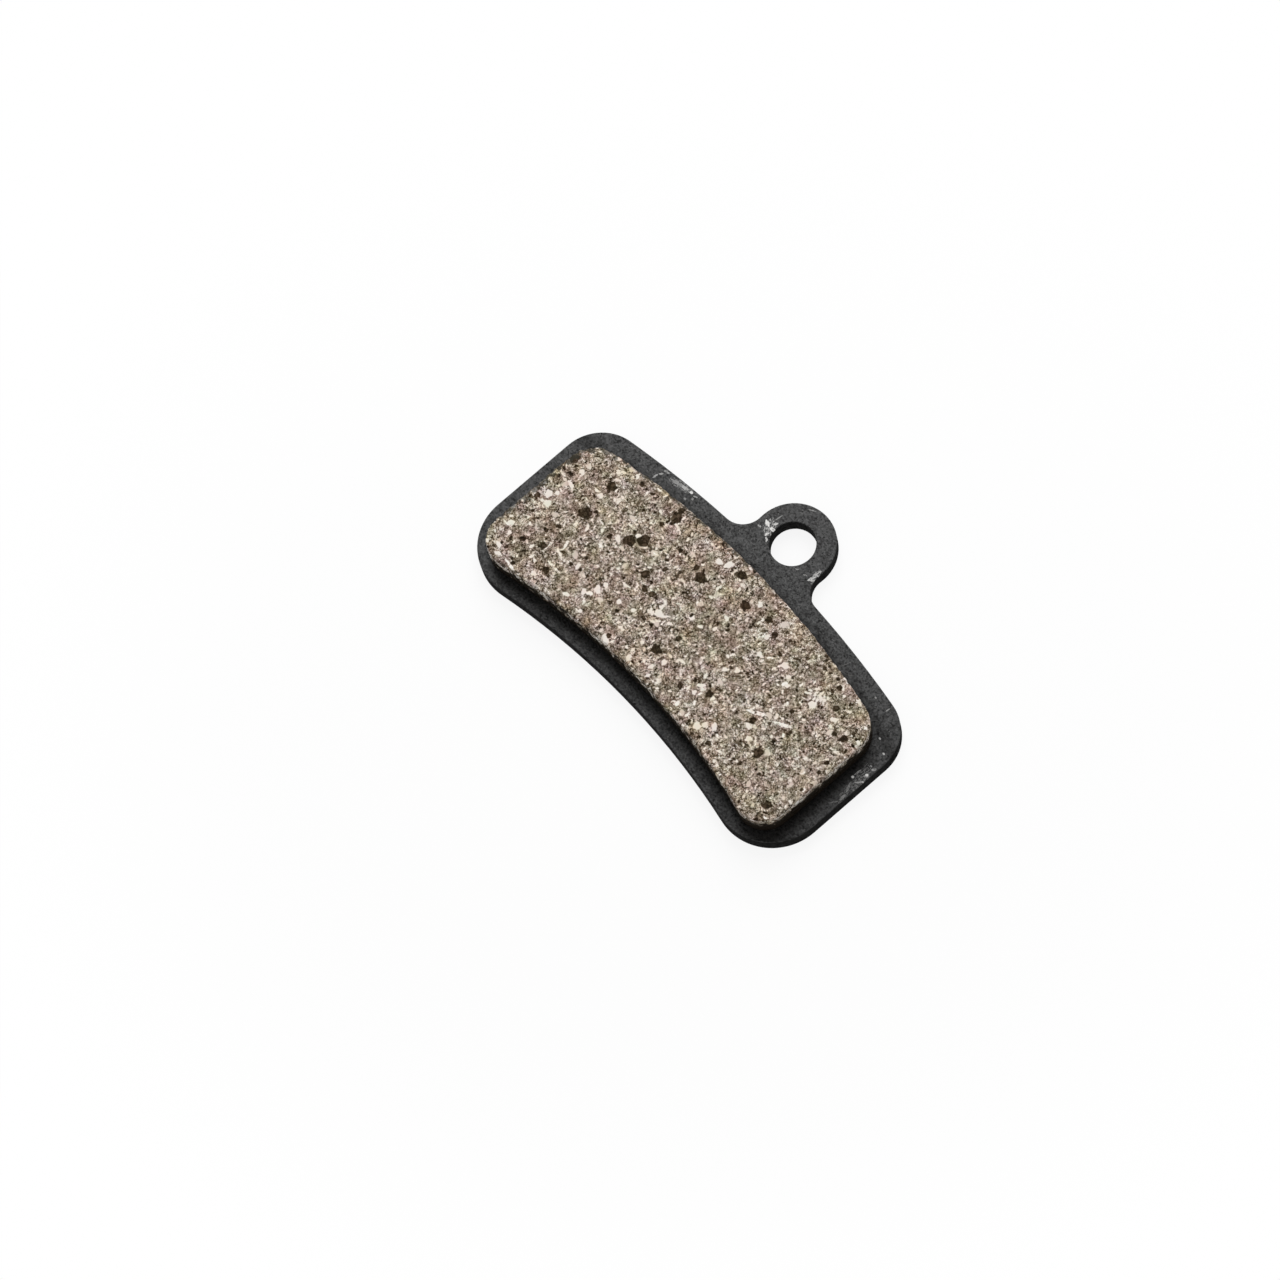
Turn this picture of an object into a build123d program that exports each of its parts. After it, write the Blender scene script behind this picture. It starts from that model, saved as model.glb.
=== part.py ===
from build123d import *
import os

# Bicycle disc brake pad, in millimetres. It lies on its back at z = 0 with the friction side up.
# The origin is on the axis of the pin hole, in the back face. +X runs along the pad, +Y out of the ear.

# Backing plate, blanked from steel sheet
plate_thickness = 1.5
plate_length = 42.4
# Lower arc to upper arc, along the centre line
plate_depth = 17.8
plate_upper_radius = 108.0
plate_lower_radius = 77.5
plate_upper_corner = 4.3
plate_lower_corner = 5.3
# Rounding that blanking leaves along every edge of the friction side
plate_edge_roll = 0.06
# Deburred edge round the back
plate_back_break = 0.1

# Ear that hangs the pad on its retaining pin
pin_hole_diameter = 4.2
# Steel left round the hole
ear_wall = 1.85
# Hole axis above the upper arc, along the centre line
ear_rise = 2.4
ear_root_radius = 2.1

# Friction block, moulded onto the plate and ground flat
friction_thickness = 2.4
# Bare steel left beyond the block: at each end, and above and below it on the centre line
friction_end_margin = 1.9
friction_upper_margin = 2.1
friction_lower_margin = 1.5
friction_upper_radius = 87.0
friction_lower_radius = 72.5
friction_upper_corner = 3.0
friction_lower_corner = 2.7
friction_edge_round = 0.1

# Heights of the four arcs on the centre line, measured from the pin hole
plate_crest = -ear_rise
plate_foot = plate_crest - plate_depth
friction_crest = plate_crest - friction_upper_margin
friction_foot = plate_foot + friction_lower_margin


def arched_outline(length, crest, foot, upper_radius, lower_radius, upper_corner, lower_corner):
    """Outline between two arcs that bow the same way, cut off square and rounded at the corners."""
    outline = Pos(0, crest - upper_radius) * Circle(upper_radius)
    outline -= Pos(0, foot - lower_radius) * Circle(lower_radius)
    outline &= Pos(0, foot) * Rectangle(length, 2 * lower_radius)
    outline = fillet(outline.vertices().group_by(Axis.Y)[-1], upper_corner)
    return fillet(outline.vertices().group_by(Axis.Y)[0], lower_corner)


def backing_plate():
    """Steel plate with a round ear, whose roots run smoothly into the upper arc."""
    outline = arched_outline(
        plate_length, plate_crest, plate_foot,
        plate_upper_radius, plate_lower_radius, plate_upper_corner, plate_lower_corner,
    )
    ear_radius = pin_hole_diameter / 2 + ear_wall
    # The circle is turned so that its start lies inside the plate
    outline += Rot(0, 0, -90) * Circle(ear_radius)
    ear_roots = outline.vertices().filter_by_position(Axis.X, -ear_radius, ear_radius)
    outline = fillet(ear_roots, ear_root_radius)

    plate = extrude(outline, plate_thickness)
    plate = chamfer(plate.faces().sort_by(Axis.Z)[0].edges(), plate_back_break)
    plate -= extrude(Circle(pin_hole_diameter / 2), plate_thickness)
    return fillet(plate.faces().sort_by(Axis.Z)[-1].edges(), plate_edge_roll)


def friction_block():
    """Block of friction compound that stands on the plate and follows its arch."""
    outline = arched_outline(
        plate_length - 2 * friction_end_margin, friction_crest, friction_foot,
        friction_upper_radius, friction_lower_radius, friction_upper_corner, friction_lower_corner,
    )
    block = extrude(Pos(0, 0, plate_thickness) * outline, friction_thickness)
    return fillet(block.faces().sort_by(Axis.Z)[-1].edges(), friction_edge_round)


pieces = {
    "backing_plate": backing_plate(),
    "friction_block": friction_block(),
}

os.makedirs("parts", exist_ok=True)
for name, piece in pieces.items():
    export_step(piece, os.path.join("parts", name + ".step"))
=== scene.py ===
"""Bicycle disc brake pad: its finishes, its ground friction block and a plain studio around the frame."""
import logging
import math
from dataclasses import dataclass, field
from enum import Enum
from typing import Any, Dict, List, Mapping, Optional, Sequence, Tuple, Union

import bpy
import numpy as np
from mathutils import Matrix, Vector, kdtree, noise


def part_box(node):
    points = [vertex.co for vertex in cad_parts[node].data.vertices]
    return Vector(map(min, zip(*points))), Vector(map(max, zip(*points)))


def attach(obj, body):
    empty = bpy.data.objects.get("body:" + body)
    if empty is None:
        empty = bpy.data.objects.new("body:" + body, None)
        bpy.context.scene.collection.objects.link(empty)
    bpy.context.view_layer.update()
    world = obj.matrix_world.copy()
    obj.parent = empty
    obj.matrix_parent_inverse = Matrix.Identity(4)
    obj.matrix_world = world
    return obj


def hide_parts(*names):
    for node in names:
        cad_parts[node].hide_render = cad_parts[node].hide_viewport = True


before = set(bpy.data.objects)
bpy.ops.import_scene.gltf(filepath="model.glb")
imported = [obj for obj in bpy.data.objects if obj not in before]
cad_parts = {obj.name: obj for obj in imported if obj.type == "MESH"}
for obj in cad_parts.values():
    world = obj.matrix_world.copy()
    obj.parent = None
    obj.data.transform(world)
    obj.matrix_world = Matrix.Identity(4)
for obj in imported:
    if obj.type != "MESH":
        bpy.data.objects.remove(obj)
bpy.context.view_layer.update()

log = logging.getLogger("brake_pad")

# The frame is in metres, and the sizes in this file are in millimetres
MM = 0.001
BODY = "root"

Colour = Tuple[float, float, float]
Range = Tuple[float, float]
Socket = bpy.types.NodeSocket
Feed = Union[float, Sequence[float], Socket]

ALONG = (1.0, 0.0, 0.0)
ACROSS = (0.0, 1.0, 0.0)
UP = (0.0, 0.0, 1.0)
WHITE: Colour = (1.0, 1.0, 1.0)

# Where along the pad the block's crumbly rim starts to turn crisp, and where it is crisp
CRISP_START = 15.0
CRISP_END = 17.5


class CadNode(Enum):
    """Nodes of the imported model."""

    PLATE = "backing_plate"
    BLOCK = "friction_block"


class Slot(Enum):
    """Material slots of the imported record."""

    PLATE_COAT = "plate_coat"
    COMPOUND = "friction_compound"


class Mark(Enum):
    """Values that the block's mesh carries at its vertices for its finish."""

    DARK_GRAIN = "dark_grain"
    PALE_FLAKE = "pale_flake"
    PIT = "pit"
    RIM_DISTANCE = "rim_distance"


def smooth_step(value: np.ndarray, low: float, high: float) -> np.ndarray:
    """Rises from 0 at low to 1 at high without a kink.

    Args:
        value: numbers to map.
        low: where the rise starts.
        high: where the rise ends, which may be below low for a fall.

    Returns:
        Numbers from 0 to 1.
    """
    t = np.clip((value - low) / (high - low), 0.0, 1.0)
    return t * t * (3.0 - 2.0 * t)


def lumps(places: np.ndarray) -> np.ndarray:
    """Gives smooth noise around zero, with lumps about one unit apart, for rows of x, y and z."""
    return np.array([noise.noise(Vector(place)) for place in places])


def lay_over(values: np.ndarray, index: np.ndarray, cover: np.ndarray) -> None:
    """Raises the numbered values to their cover where that is higher, in place."""
    values[index] = np.maximum(values[index], cover)


def search_tree(places: np.ndarray) -> kdtree.KDTree:
    """Makes a tree that finds places by distance.

    Args:
        places: rows of x and y, or of x, y and z.

    Returns:
        The tree, which gives row numbers.
    """
    tree = kdtree.KDTree(len(places))
    for number, place in enumerate(places):
        tree.insert((*place, 0.0)[:3], number)
    tree.balance()
    return tree


def clear_nodes(holder: Union[bpy.types.Material, bpy.types.World]) -> bpy.types.NodeTree:
    """Empties the shader tree of a material or a world.

    Args:
        holder: what the tree belongs to.

    Returns:
        The empty tree.
    """
    holder.use_nodes = True
    holder.node_tree.nodes.clear()
    return holder.node_tree


class ShaderSheet:
    """A short way to place nodes in one shader tree and to join them."""

    def __init__(self, tree: bpy.types.NodeTree) -> None:
        """Keeps the tree that the nodes go into."""
        self.tree = tree

    def feed(self, socket: Socket, value: Feed) -> None:
        """Links a socket to another one, or sets its value, where a plain colour is made opaque."""
        if isinstance(value, Socket):
            self.tree.links.new(value, socket)
        elif socket.type == "RGBA":
            socket.default_value = (*value, 1.0)
        else:
            socket.default_value = value

    def node(self, kind: str, feeds: Optional[Mapping[Any, Feed]] = None, **settings: Any) -> bpy.types.Node:
        """Places one node.

        Args:
            kind: Blender's name for the kind of node.
            feeds: what goes into each input, by the input's name or number.
            **settings: the node's own properties.

        Returns:
            The new node.
        """
        node = self.tree.nodes.new(kind)
        for name, setting in settings.items():
            setattr(node, name, setting)
        for key, value in (feeds or {}).items():
            self.feed(node.inputs[key], value)
        return node

    def math(self, operation: str, a: Feed, b: Feed = 0.0, clamp: bool = False) -> Socket:
        """Gives the result of one arithmetic step."""
        return self.node("ShaderNodeMath", {0: a, 1: b}, operation=operation, use_clamp=clamp).outputs[0]

    def plus(self, first: Feed, *others: Feed) -> Feed:
        """Gives the sum of several numbers."""
        for other in others:
            first = self.math("ADD", first, other)
        return first

    def minus(self, a: Feed, b: Feed) -> Socket:
        """Gives a less b."""
        return self.math("SUBTRACT", a, b)

    def times(self, first: Feed, *others: Feed) -> Feed:
        """Gives the product of several numbers."""
        for other in others:
            first = self.math("MULTIPLY", first, other)
        return first

    def swing(self, value: Feed, reach: Feed, middle: float = 0.5) -> Socket:
        """Gives how far a number lies from the middle, times reach."""
        return self.times(self.minus(value, middle), reach)

    def toward(self, value: Feed, goal: Feed, share: Feed) -> Socket:
        """Gives a number that has gone a share of the way to a goal."""
        return self.plus(value, self.times(share, self.minus(goal, value)))

    def vector(self, operation: str, a: Feed, b: Feed = (0.0, 0.0, 0.0)) -> Socket:
        """Gives the vector result of one vector step."""
        return self.node("ShaderNodeVectorMath", {0: a, 1: b}, operation=operation).outputs["Vector"]

    def dot(self, a: Feed, b: Feed) -> Socket:
        """Gives the dot product of two vectors."""
        return self.node("ShaderNodeVectorMath", {0: a, 1: b}, operation="DOT_PRODUCT").outputs["Value"]

    def length(self, a: Feed) -> Socket:
        """Gives the length of a vector."""
        return self.node("ShaderNodeVectorMath", {0: a}, operation="LENGTH").outputs["Value"]

    def grow(self, a: Feed, scale: Feed) -> Socket:
        """Gives a vector multiplied by a number."""
        return self.node("ShaderNodeVectorMath", {0: a, "Scale": scale}, operation="SCALE").outputs["Vector"]

    def turned(self, a: Feed, angle: Feed) -> Socket:
        """Gives a vector turned about the upright axis."""
        node = self.node("ShaderNodeVectorRotate", {"Vector": a, "Angle": angle}, rotation_type="Z_AXIS")
        return node.outputs["Vector"]

    def joined(self, x: Feed, y: Feed, z: Feed = 0.0) -> Socket:
        """Gives a vector made of three numbers."""
        return self.node("ShaderNodeCombineXYZ", {0: x, 1: y, 2: z}).outputs[0]

    def step(self, value: Feed, low: Feed, high: Feed) -> Socket:
        """Gives 0 at low and 1 at high, with a smooth rise between them."""
        ends = {"Value": value, "From Min": low, "From Max": high}
        return self.node("ShaderNodeMapRange", ends, interpolation_type="SMOOTHSTEP").outputs["Result"]

    def spread(self, value: Feed, low: float, high: float) -> Socket:
        """Gives a number from 0 to 1 stretched to run from low to high."""
        ends = {"Value": value, "To Min": low, "To Max": high}
        return self.node("ShaderNodeMapRange", ends).outputs["Result"]

    def blend(self, factor: Feed, a: Feed, b: Feed, mode: str = "MIX") -> Socket:
        """Gives colour a turned into colour b by factor."""
        feeds = {0: factor, 6: a, 7: b}
        return self.node("ShaderNodeMix", feeds, data_type="RGBA", blend_type=mode).outputs[2]

    def noise(self, position: Feed, scale: Feed, detail: float = 2.0, rough: float = 0.5) -> Socket:
        """Gives cloudy noise around one half."""
        feeds = {"Vector": position, "Scale": scale, "Detail": detail, "Roughness": rough}
        return self.node("ShaderNodeTexNoise", feeds).outputs["Fac"]

    def hues(self, position: Feed, scale: Feed) -> Socket:
        """Gives cloudy noise with three parts, as a colour."""
        return self.node("ShaderNodeTexNoise", {"Vector": position, "Scale": scale}).outputs["Color"]

    def cells(self, position: Feed, scale: Feed) -> Socket:
        """Gives each cell of a random pattern its own random colour."""
        return self.node("ShaderNodeTexVoronoi", {"Vector": position, "Scale": scale}).outputs["Color"]

    def parts(self, colour: Feed) -> Tuple[Socket, ...]:
        """Gives the three parts of a colour."""
        return tuple(self.node("ShaderNodeSeparateColor", {0: colour}).outputs)

    def ramp(self, factor: Feed, stops: Sequence[Tuple[float, Colour]]) -> Socket:
        """Gives the colour at factor along a row of colours.

        Args:
            factor: place along the row, from 0 to 1.
            stops: place and colour of each stop, in order.

        Returns:
            The colour socket.
        """
        node = self.node("ShaderNodeValToRGB", {0: factor})
        elements = node.color_ramp.elements
        while len(elements) < len(stops):
            elements.new(1.0)
        for element, (place, colour) in zip(elements, stops):
            element.position = place
            element.color = (*colour, 1.0)
        return node.outputs["Color"]

    def group(self, tree: bpy.types.NodeTree, feeds: Mapping[str, Feed]) -> bpy.types.Node:
        """Places a node group with its own values, since its inputs exist only once its tree is set."""
        node = self.node("ShaderNodeGroup", node_tree=tree)
        for name, value in feeds.items():
            self.feed(node.inputs[name], value)
        return node

    def mark(self, mark: Mark) -> Socket:
        """Gives a value that the mesh carries."""
        return self.node("ShaderNodeAttribute", attribute_name=mark.value).outputs["Fac"]


class GroupSheet(ShaderSheet):
    """A shader node group with named sockets."""

    def __init__(
        self, name: str, vectors: Sequence[str], numbers: Sequence[str], gives: Sequence[str],
    ) -> None:
        """Makes the group and its sockets.

        Args:
            name: the group's name.
            vectors: names of the inputs that are vectors.
            numbers: names of the inputs that are numbers.
            gives: names of the outputs, which are all numbers.
        """
        super().__init__(bpy.data.node_groups.new(name, "ShaderNodeTree"))
        sockets = [(socket, "INPUT", "NodeSocketVector") for socket in vectors]
        sockets += [(socket, "INPUT", "NodeSocketFloat") for socket in numbers]
        sockets += [(socket, "OUTPUT", "NodeSocketFloat") for socket in gives]
        for socket, side, kind in sockets:
            self.tree.interface.new_socket(name=socket, in_out=side, socket_type=kind)
        self.takes = self.node("NodeGroupInput").outputs
        self.gives = self.node("NodeGroupOutput").inputs

    def scaled(self, pitch: str) -> Socket:
        """Gives the position counted in pitches, where pitch names an input."""
        return self.grow(self.takes["Position"], self.math("DIVIDE", 1.0, self.takes[pitch]))

    def give(self, name: str, value: Feed) -> None:
        """Feeds one of the group's outputs."""
        self.feed(self.gives[name], value)


class SharedEffects:
    """Node groups that both finishes use."""

    # Fine grain: shares of its tone that are cloudy and speckled, and speckles in one pitch
    grain_clouds = 0.7
    grain_speckles = 0.3
    speckles_per_pitch = 1.9
    # Flakes: bends in one spacing and how far they bend, and the span of their turns in radians
    flake_bends = 3.4
    flake_bend = 0.30
    flake_turns = 400.0
    # Share of the full size that the smallest flake has, and share of its reach where its soft edge starts
    smallest_flake = 0.45
    flake_core = 0.70
    # Strands: share of the width where the soft edge starts, and shift, scale and soft edge of their patches
    strand_core = 0.4
    patch_shift = (5.0, 9.0, 2.0)
    patch_scale = 1.3
    patch_edge = 0.05
    # Scuffs: where they fade out, and how drawn out, how fine and how soft their streaks are
    scuff_fade = (1.50, 0.55)
    streak_stretch = 0.5
    streak_scale = 9.0
    streak_edge = 0.10

    def __init__(self) -> None:
        """Builds each group once."""
        self.grain = self._grain()
        self.flakes = self._flakes()
        self.strands = self._strands()
        self.scuff = self._scuff()

    def _grain(self) -> bpy.types.NodeTree:
        """Makes the fine grain of a sprayed or ground surface.

        Returns:
            A group that takes Position and Pitch, and gives Tone, around one half, and Height.
        """
        sheet = GroupSheet("fine_grain", ("Position",), ("Pitch",), ("Tone", "Height"))
        scaled = sheet.scaled("Pitch")
        soft = sheet.noise(scaled, 1.0, detail=3.0, rough=0.65)
        speckle = sheet.parts(sheet.cells(scaled, self.speckles_per_pitch))[0]
        sheet.give("Tone", sheet.plus(
            sheet.times(soft, self.grain_clouds), sheet.times(speckle, self.grain_speckles)))
        sheet.give("Height", soft)
        return sheet.tree

    def _flakes(self) -> bpy.types.NodeTree:
        """Makes separate flakes, pores or dust, each turned its own way.

        Returns:
            A group that takes Position, Spacing, Size, Slimness and Share, and gives Mask and Tone.
        """
        numbers = ("Spacing", "Size", "Slimness", "Share")
        sheet = GroupSheet("scattered_flakes", ("Position",), numbers, ("Mask", "Tone"))
        scaled = sheet.scaled("Spacing")
        bent = sheet.vector("ADD", scaled, sheet.grow(sheet.hues(scaled, self.flake_bends), self.flake_bend))
        cell = sheet.node("ShaderNodeTexVoronoi", {"Vector": bent, "Scale": 1.0}).outputs
        pick, size, tone = sheet.parts(cell["Color"])[:3]
        offset = sheet.vector("SUBTRACT", bent, cell["Position"])
        turned = sheet.turned(offset, sheet.times(pick, self.flake_turns))
        narrowed = sheet.joined(1.0, sheet.math("DIVIDE", 1.0, sheet.takes["Slimness"]), 1.0)
        distance = sheet.length(sheet.vector("MULTIPLY", turned, narrowed))
        present = sheet.math("LESS_THAN", pick, sheet.takes["Share"])
        reach = sheet.times(sheet.takes["Size"], sheet.spread(size, self.smallest_flake, 1.0))
        inside = sheet.step(distance, reach, sheet.times(reach, self.flake_core))
        sheet.give("Mask", sheet.times(inside, present))
        sheet.give("Tone", tone)
        return sheet.tree

    def _strands(self) -> bpy.types.NodeTree:
        """Makes short curved strands, such as fibres, cracks or fine scratches.

        Returns:
            A group that takes Position, Pitch, Width and Share, and gives Mask.
        """
        sheet = GroupSheet("short_strands", ("Position",), ("Pitch", "Width", "Share"), ("Mask",))
        scaled = sheet.scaled("Pitch")
        width = sheet.takes["Width"]
        wave = sheet.math("ABSOLUTE", sheet.minus(sheet.noise(scaled, 1.0, detail=0.0), 0.5))
        line = sheet.step(wave, width, sheet.times(width, self.strand_core))
        patch = sheet.noise(sheet.vector("ADD", scaled, self.patch_shift), self.patch_scale, detail=1.0)
        limit = sheet.minus(1.0, sheet.takes["Share"])
        present = sheet.step(patch, limit, sheet.plus(limit, self.patch_edge))
        sheet.give("Mask", sheet.times(line, present))
        return sheet.tree

    def _scuff(self) -> bpy.types.NodeTree:
        """Makes a rubbed patch that breaks up into streaks.

        Returns:
            A group that takes Position, Centre, Length, Width, Turn and Cover, and gives Mask.
        """
        numbers = ("Length", "Width", "Turn", "Cover")
        sheet = GroupSheet("scuff_patch", ("Position", "Centre"), numbers, ("Mask",))
        centre = sheet.takes["Centre"]
        offset = sheet.vector("SUBTRACT", sheet.takes["Position"], centre)
        turned = sheet.turned(offset, sheet.times(sheet.takes["Turn"], -1.0))
        along = sheet.dot(turned, ALONG)
        across = sheet.dot(turned, ACROSS)
        u = sheet.math("DIVIDE", along, sheet.takes["Length"])
        v = sheet.math("DIVIDE", across, sheet.takes["Width"])
        reach = sheet.math("SQRT", sheet.plus(sheet.times(u, u), sheet.times(v, v)))
        fade = sheet.step(reach, *self.scuff_fade)
        streaks = sheet.vector("ADD", sheet.joined(sheet.times(along, self.streak_stretch), across), centre)
        broken = sheet.noise(streaks, self.streak_scale, detail=2.0, rough=0.7)
        limit = sheet.minus(1.0, sheet.times(fade, sheet.takes["Cover"]))
        sheet.give("Mask", sheet.step(broken, limit, sheet.plus(limit, self.streak_edge)))
        return sheet.tree


class FinishSheet(ShaderSheet):
    """The nodes of one finish, with its shader, the shared effects and the place in millimetres."""

    def __init__(self, name: str, effects: SharedEffects) -> None:
        """Makes a material with one shader.

        Args:
            name: the material's name.
            effects: the shared node groups.
        """
        self.material = bpy.data.materials.new(name)
        super().__init__(clear_nodes(self.material))
        self.effects = effects
        self.shader = self.node("ShaderNodeBsdfPrincipled")
        self.node("ShaderNodeOutputMaterial", {"Surface": self.shader.outputs[0]})
        self.position = self.grow(self.node("ShaderNodeTexCoord").outputs["Object"], 1.0 / MM)

    def give(self, name: str, value: Feed) -> None:
        """Links or sets one of the shader's inputs."""
        self.feed(self.shader.inputs[name], value)

    def give_relief(self, height: Socket, strength: float, depth: float) -> None:
        """Bumps the surface by a height from 0 to 1 over a depth in millimetres."""
        bump = self.node("ShaderNodeBump", {"Strength": strength, "Distance": depth * MM, "Height": height})
        self.give("Normal", bump.outputs["Normal"])

    def moved(self, x: float, y: float, z: float = 0.0) -> Socket:
        """Gives the place on the object, moved over."""
        return self.vector("ADD", self.position, (x, y, z))

    def grain(self, pitch: float) -> bpy.types.Node:
        """Places fine grain of a pitch."""
        return self.group(self.effects.grain, {"Position": self.position, "Pitch": pitch})


@dataclass(frozen=True)
class Scuff:
    """A rubbed stroke: its middle, half length and half width, its turn, how whole it is, and how pale."""

    x: float
    y: float
    length: float
    width: float
    turn_degrees: float
    cover: float = 0.62
    paleness: float = 1.0

    def mask(self, sheet: FinishSheet) -> Socket:
        """Draws the stroke.

        Args:
            sheet: the finish's nodes.

        Returns:
            How far the stroke covers each place.
        """
        stroke = sheet.group(sheet.effects.scuff, {
            "Position": sheet.position,
            "Centre": (self.x, self.y, 0.0),
            "Length": self.length,
            "Width": self.width,
            "Turn": math.radians(self.turn_degrees),
            "Cover": self.cover,
        })
        return sheet.times(stroke.outputs["Mask"], self.paleness)


def all_strokes(scuffs: Sequence[Scuff], sheet: FinishSheet) -> Feed:
    """Lays strokes over each other.

    Args:
        scuffs: the strokes.
        sheet: the finish's nodes.

    Returns:
        How far the strokes cover each place.
    """
    covered: Feed = 0.0
    for scuff in scuffs:
        covered = sheet.math("MAXIMUM", covered, scuff.mask(sheet))
    return covered


@dataclass(frozen=True)
class Strands:
    """Hairs, threads or cracks: their pitch, width, share, change of tone and own shift."""

    pitch: float
    width: float
    share: float
    change: float
    shift: Tuple[float, float] = (0.0, 0.0)

    def mask(self, sheet: FinishSheet) -> Socket:
        """Draws the strands.

        Args:
            sheet: the finish's nodes.

        Returns:
            How far they change each place.
        """
        drawn = sheet.group(sheet.effects.strands, {
            "Position": sheet.moved(*self.shift),
            "Pitch": self.pitch,
            "Width": self.width,
            "Share": self.share,
        })
        return sheet.times(drawn.outputs["Mask"], self.change)


@dataclass(frozen=True)
class Speckle:
    """One kind of flake, pore or dust: its spacing, size, slimness and share, and the tones it may have."""

    spacing: float
    size: float
    slimness: float
    share: float
    first_tone: float = 0.0
    last_tone: float = 1.0
    # Shift of each kind against the one before it
    kind_shift: Tuple[float, float] = (17.0, 5.0)

    def strewn(self, sheet: FinishSheet, number: int = 0) -> bpy.types.Node:
        """Strews the speckles.

        Args:
            sheet: the finish's nodes.
            number: a number that sets this kind apart from the others.

        Returns:
            The node that gives their Mask and Tone.
        """
        return sheet.group(sheet.effects.flakes, {
            "Position": sheet.moved(*(number * shift for shift in self.kind_shift)),
            "Spacing": self.spacing,
            "Size": self.size,
            "Slimness": self.slimness,
            "Share": self.share,
        })


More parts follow.
